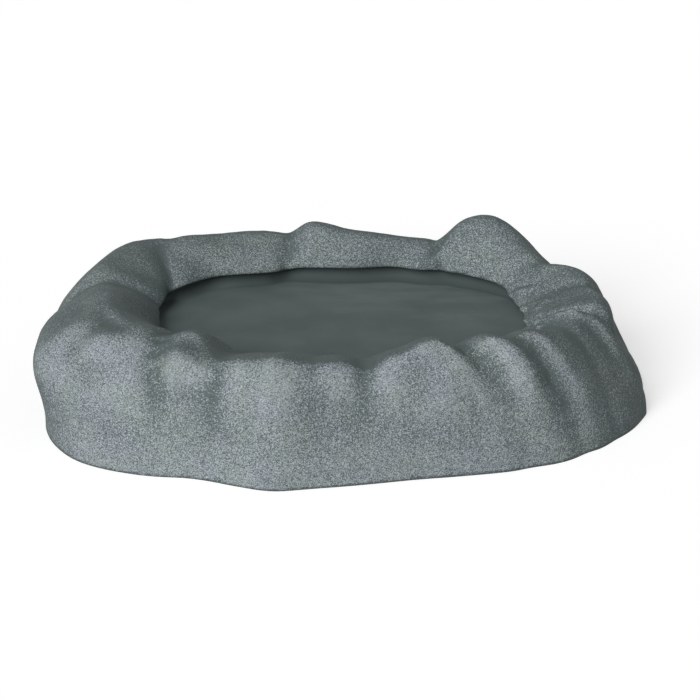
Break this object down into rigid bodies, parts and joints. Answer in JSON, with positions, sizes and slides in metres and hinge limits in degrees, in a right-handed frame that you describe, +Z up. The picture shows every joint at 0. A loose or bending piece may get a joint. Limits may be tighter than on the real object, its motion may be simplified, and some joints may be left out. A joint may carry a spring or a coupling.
{
  "type": "rock water basin",
  "caption": "Open oval water basin with a ring of modelled rock round a shallow smooth tray, to stand on the ground in a garden or a vivarium.",
  "frame": {"origin": "middle of the rock's outline at ground level", "axes": "+Z up, +X along the length to the viewer's right, +Y from the front to the back"},
  "size_m": [0.6073, 0.4388, 0.1415],
  "materials": {
    "rock": "moulded resin with a fine granite speckle, matt",
    "tray": "smooth dark grey-green resin, matt with faint smears",
    "screws": "plain stainless steel"
  },
  "bodies": {
    "root": {"rock_surround": "rock", "basin_tray": "tray", "tray_screws": "screws"}
  },
  "joints": []
}
